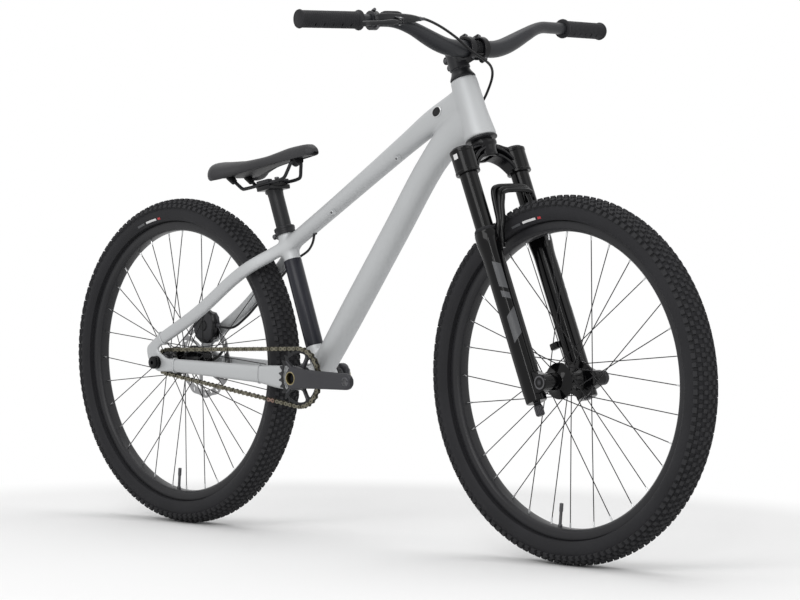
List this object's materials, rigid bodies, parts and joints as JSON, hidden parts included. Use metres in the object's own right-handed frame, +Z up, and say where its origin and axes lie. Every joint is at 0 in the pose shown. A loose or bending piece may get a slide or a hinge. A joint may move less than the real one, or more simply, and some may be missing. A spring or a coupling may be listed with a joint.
{
  "type": "dirt jump bike",
  "caption": "Hardtail dirt jump bicycle with sprung fork, single-speed chain drive, rear disc brake, riser bar and low saddle; wheels, cranks, steering and brake lever move.",
  "frame": {"origin": "on the ground, midway between the two hubs, in the middle plane of the wheels", "axes": "+X forward along the bike, +Y to the rider's left, +Z up; the chain is on the -Y side"},
  "size_m": [1.74, 0.795, 1.0003],
  "materials": {
    "frame_paint": "satin silver-grey paint",
    "satin_black": "satin black anodised",
    "gloss_black": "gloss black",
    "rim_black": "satin black",
    "charcoal": "satin charcoal",
    "tyre": "matt black rubber with fine knobs",
    "rubber": "matt black rubber",
    "bare_steel": "brushed",
    "chain_steel": "oiled olive-gold links",
    "saddle_cover": "matt black synthetic leather",
    "saddle_shell": "matt black"
  },
  "bodies": {
    "frame": {"head_tube": "frame_paint", "bottom_bracket_shell": "frame_paint", "seat_tube": "frame_paint", "top_tube": "frame_paint", "down_tube": "frame_paint", "chainstay_right": "frame_paint", "chainstay_left": "frame_paint", "seatstay_right": "frame_paint", "seatstay_left": "frame_paint", "dropout_right": "frame_paint", "dropout_left": "frame_paint", "headset_lower_cup": "satin_black", "headset_upper_cup": "satin_black", "bottom_bracket_bearing_right": "satin_black", "bottom_bracket_bearing_left": "satin_black", "seat_collar": "satin_black", "rear_axle": "satin_black", "brake_caliper": "satin_black", "chain": "chain_steel", "brake_hose_rear": "rubber"},
    "steering": {"fork_crown_steerer": "gloss_black", "stanchion_right": "gloss_black", "stanchion_left": "gloss_black", "headset_cover": "satin_black", "stem": "satin_black", "stem_faceplate": "satin_black", "steerer_cap": "satin_black", "handlebar": "charcoal", "grip_right": "rubber", "grip_left": "rubber", "brake_master": "satin_black", "brake_hose_front": "rubber"},
    "fork_lower_legs": {"fork_lowers": "gloss_black", "fork_wiper_right": "rubber", "fork_wiper_left": "rubber", "front_axle": "satin_black", "rebound_knob": "satin_black"},
    "front_wheel": {"front_hub_spokes": "rim_black", "front_rim": "rim_black", "front_tyre": "tyre"},
    "rear_wheel": {"rear_hub_spokes": "rim_black", "rear_rim": "rim_black", "rear_tyre": "tyre", "brake_rotor": "bare_steel"},
    "cog": {"rear_cog": "bare_steel"},
    "crankset": {"crank_arm_right": "charcoal", "crank_arm_left": "charcoal", "crank_spindle": "bare_steel", "chainring": "satin_black"},
    "lever": {"brake_lever": "satin_black"},
    "pad_inner": {"brake_pad_inner": "bare_steel"},
    "pad_outer": {"brake_pad_outer": "bare_steel"},
    "seat": {"seatpost": "satin_black", "saddle_clamp": "satin_black", "saddle_rails": "satin_black", "saddle_base": "saddle_shell", "saddle_cover": "saddle_cover"}
  },
  "joints": [
    {"name": "steering_turn", "type": "hinge", "parent": "frame", "child": "steering", "pos_m": [0.50269, 0, 0.31914], "axis": [-0.3746, 0, 0.9272], "range_deg": [-80, 80], "deforming": ["brake_hose_front"]},
    {"name": "fork_travel", "type": "slide", "parent": "steering", "child": "fork_lower_legs", "axis": [-0.3746, 0, 0.9272], "range_m": [0, 0.1], "stiffness_N_per_m": 6000, "springref_m": -0.02},
    {"name": "front_wheel_spin", "type": "hinge", "parent": "fork_lower_legs", "child": "front_wheel", "pos_m": [0.537, 0, 0.333], "axis": [0, 1, 0], "continuous": true},
    {"name": "rear_wheel_spin", "type": "hinge", "parent": "frame", "child": "rear_wheel", "pos_m": [-0.537, 0, 0.333], "axis": [0, 1, 0], "continuous": true},
    {"name": "crank_spin", "type": "hinge", "parent": "frame", "child": "crankset", "pos_m": [-0.1329, 0, 0.315], "axis": [0, 1, 0], "continuous": true, "deforming": ["chain"]},
    {"name": "cog_spin", "type": "hinge", "parent": "frame", "child": "cog", "pos_m": [-0.537, 0, 0.333], "axis": [0, 1, 0], "continuous": true},
    {"name": "lever_pull", "type": "hinge", "parent": "steering", "child": "lever", "pos_m": [0.32708, -0.20916, 0.97909], "axis": [-0.18, 0.0319, -0.9832], "range_deg": [0, 16], "stiffness_Nm_per_rad": 0.8, "springref_deg": -20.05},
    {"name": "pad_inner_slide", "type": "slide", "parent": "frame", "child": "pad_inner", "axis": [0, 1, 0], "range_m": [0, 0.00035]},
    {"name": "pad_outer_slide", "type": "slide", "parent": "frame", "child": "pad_outer", "axis": [0, -1, 0], "range_m": [0, 0.00035]},
    {"name": "seat_height", "type": "slide", "parent": "frame", "child": "seat", "axis": [-0.3453, 0, 0.9385], "range_m": [-0.06, 0.05]}
  ],
  "couplings": [
    {"joint": "cog_spin", "follows": "crank_spin", "ratio": 2.3333},
    {"joint": "pad_inner_slide", "follows": "lever_pull", "m_per_rad": 0.00125},
    {"joint": "pad_outer_slide", "follows": "lever_pull", "m_per_rad": 0.00125}
  ]
}
